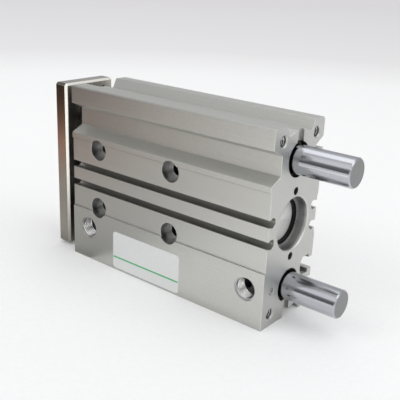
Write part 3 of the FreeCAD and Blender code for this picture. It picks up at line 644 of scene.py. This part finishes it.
backdrop()
FLOOR_HALF = 3
plane = new_object("floor", [(a * FLOOR_HALF, b * FLOOR_HALF, 0) for a, b in
                             ((-1, -1), (1, -1), (1, 1), (-1, 1))], [(0, 1, 2, 3)],
                   floor_material())


def flag_material(name, axis, reach, stops, shade=False):
    """Tones along one axis, for surroundings on the left that only the metal sees.

    shade paints the body's shadow on them towards its foot, and a brighter pool of light away
    from it."""
    mat, nodes, pos = bare_material(name)
    place = nodes.xyz(pos)
    band = nodes.ramp(nodes.span(place[axis], *reach, smooth=False), stops)
    glow = nodes.fill(nodes.new("Emission"), band)
    if shade:
        # Painted shadow of the body towards its foot, and painted brighter light away from it.
        near = nodes.ramp(nodes.span(place[1], -0.15, -0.02, smooth=False),
                          [(at, (level,) * 3) for at, level in
                           ((0.0, 0.0), (0.5, 0.28), (0.78, 0.52), (1.0, 0.76))])
        beside = nodes.span(place[0], -0.10, -0.035, smooth=False)
        far = nodes.span(place[1], -0.12, -0.20, 1.0, 1.68, smooth=False)
        nodes.put(glow.inputs["Strength"],
                  nodes.math("SUBTRACT", far, nodes.math("MULTIPLY", near, beside)))
    nodes.fill(nodes.new("OutputMaterial"), glow.outputs[0])
    return mat


FLAG_STEPS, FLAG_X = 24, -0.06


def flag(name, start, stop, inner, outer, mat):
    """Band round the plate between two (radius, height) rims, seen by reflections alone."""
    points, faces = [], []
    for i in range(FLAG_STEPS + 1):
        angle = math.radians(start + (stop - start) * i / FLAG_STEPS)
        for radius, height in (inner, outer):
            points.append((FLAG_X + radius * math.cos(angle), radius * math.sin(angle), height))
    for i in range(FLAG_STEPS):
        faces.append((2 * i, 2 * i + 2, 2 * i + 3, 2 * i + 1))
    made = new_object(name, points, faces, mat)
    for ray in ("camera", "diffuse", "shadow", "transmission", "volume_scatter"):
        setattr(made, "visible_" + ray, False)


flag("studio_flag", 172, 242, (0.24, 0.0), (0.24, 0.16),
     flag_material("studio_flag", 2, (0.0, 0.16), (
         (0.0, (0.27, 0.15, 0.11)), (0.05, (0.23, 0.12, 0.085)),
         (0.16, (0.085, 0.050, 0.036)), (0.25, (0.032, 0.024, 0.019)),
         (0.50, (0.030, 0.026, 0.025)), (0.80, (0.06, 0.055, 0.055)),
         (1.0, (0.20, 0.20, 0.20)))))
# Sheet on the table seen only in the metal: painted light from dark on the left to brighter than
# white towards the rear, with the body's painted shadow.
flag("studio_flag_floor", 172, 300, (0.0, 0.0004), (0.42, 0.0004),
     flag_material("studio_flag_floor", 0, (-0.30, 0.06), (
         (0.0, (0.36, 0.20, 0.15)), (0.26, (0.48, 0.30, 0.24)), (0.40, (0.44, 0.42, 0.40)),
         (0.58, (0.50, 0.50, 0.49)), (0.70, (0.70, 0.70, 0.69)), (0.85, (1.0, 1.0, 0.99)),
         (1.0, (1.35, 1.35, 1.35))), shade=True))


def area_light(name, place, target, size_x, size_y, power):
    """Lamp for matt surfaces; the metal does not mirror it."""
    data = bpy.data.lights.new(name, "AREA")
    data.shape = "RECTANGLE"
    data.size, data.size_y = size_x, size_y
    data.energy = power
    lamp = bpy.data.objects.new(name, data)
    lamp.location = place
    aim = Vector(target) - Vector(place)
    lamp.rotation_euler = aim.to_track_quat("-Z", "Y").to_euler()
    lamp.visible_glossy = False
    bpy.context.scene.collection.objects.link(lamp)


AIM = (0, 0, 0.04)
area_light("key_softbox", (-0.9, -1.5, 1.5), AIM, 1.1, 0.8, 5.0)
area_light("side_fill", (1.9, 0.6, 1.5), AIM, 1.2, 0.8, 1.2)


SKY_GAIN = 2.0
SKY_TINT = (0.985, 0.99, 1.0)
SKY_STOPS = ((-90, 0.27), (-54, 0.28), (-34, 0.38), (-20, 0.83), (5, 0.83), (14, 0.35),
             (29, 0.50), (54, 0.53), (65, 0.10), (90, 0.09))  # degrees round x, level


def sky():
    """Soft room: light bands run along the rods, darker ones stand at the horizon."""
    world = bpy.data.worlds.new("soft_room")
    bpy.context.scene.world = world
    world.use_nodes = True
    nodes = Nodes(world.node_tree)
    back = nodes.tree.nodes["Background"]
    dx, dy, dz = nodes.xyz(nodes.new("TexCoord").outputs["Generated"])
    turn = nodes.math("ARCTAN2", nodes.math("MULTIPLY", dy, -1.0), dz)
    place = nodes.span(turn, -math.pi / 2, math.pi / 2, smooth=False)
    band = nodes.ramp(place, [((angle + 90) / 180, tuple(level * c for c in SKY_TINT))
                              for angle, level in SKY_STOPS])
    # The overhead strip ends on the left, where the room is dim.
    over = nodes.span(nodes.math("ABSOLUTE", turn), math.radians(26), math.radians(38), 1.0, 0.0)
    dim = nodes.span(dx, -0.62, -0.48, 0.90, 0.0)
    keep = nodes.math("SUBTRACT", 1.0, nodes.math("MULTIPLY", over, dim))
    keep = nodes.math("MULTIPLY", keep, nodes.span(dx, -0.78, -0.45, 0.66, 1.0))
    nodes.put(back.inputs["Color"], band)
    nodes.put(back.inputs["Strength"], nodes.math("MULTIPLY", keep, SKY_GAIN))


sky()

# ------------------------------------------------------------------ camera
AZ, EL, ROLL = math.radians(38.763), math.radians(19.677), math.radians(2.468)
FOCAL_PX, IMAGE_PX, SENSOR_MM = 694.09, 400, 36.0
place = Vector((X_FRONT + 244.86 * MM, -225.65 * MM, 142.69 * MM))
back = Vector((math.sin(AZ) * math.cos(EL), -math.cos(AZ) * math.cos(EL), math.sin(EL)))
right = Vector((math.cos(AZ), math.sin(AZ), 0.0))
up = back.cross(right)
right_r = right * math.cos(ROLL) + up * math.sin(ROLL)
up_r = up * math.cos(ROLL) - right * math.sin(ROLL)
data = bpy.data.cameras.new("camera")
data.sensor_width = SENSOR_MM
data.lens = FOCAL_PX / IMAGE_PX * SENSOR_MM
data.clip_start = 0.01
camera = bpy.data.objects.new("camera", data)
turn = Matrix((right_r, up_r, back)).transposed().to_4x4()
camera.matrix_world = Matrix.Translation(place) @ turn
bpy.context.scene.collection.objects.link(camera)
bpy.context.scene.camera = camera
bpy.context.scene.view_settings.view_transform = "Standard"
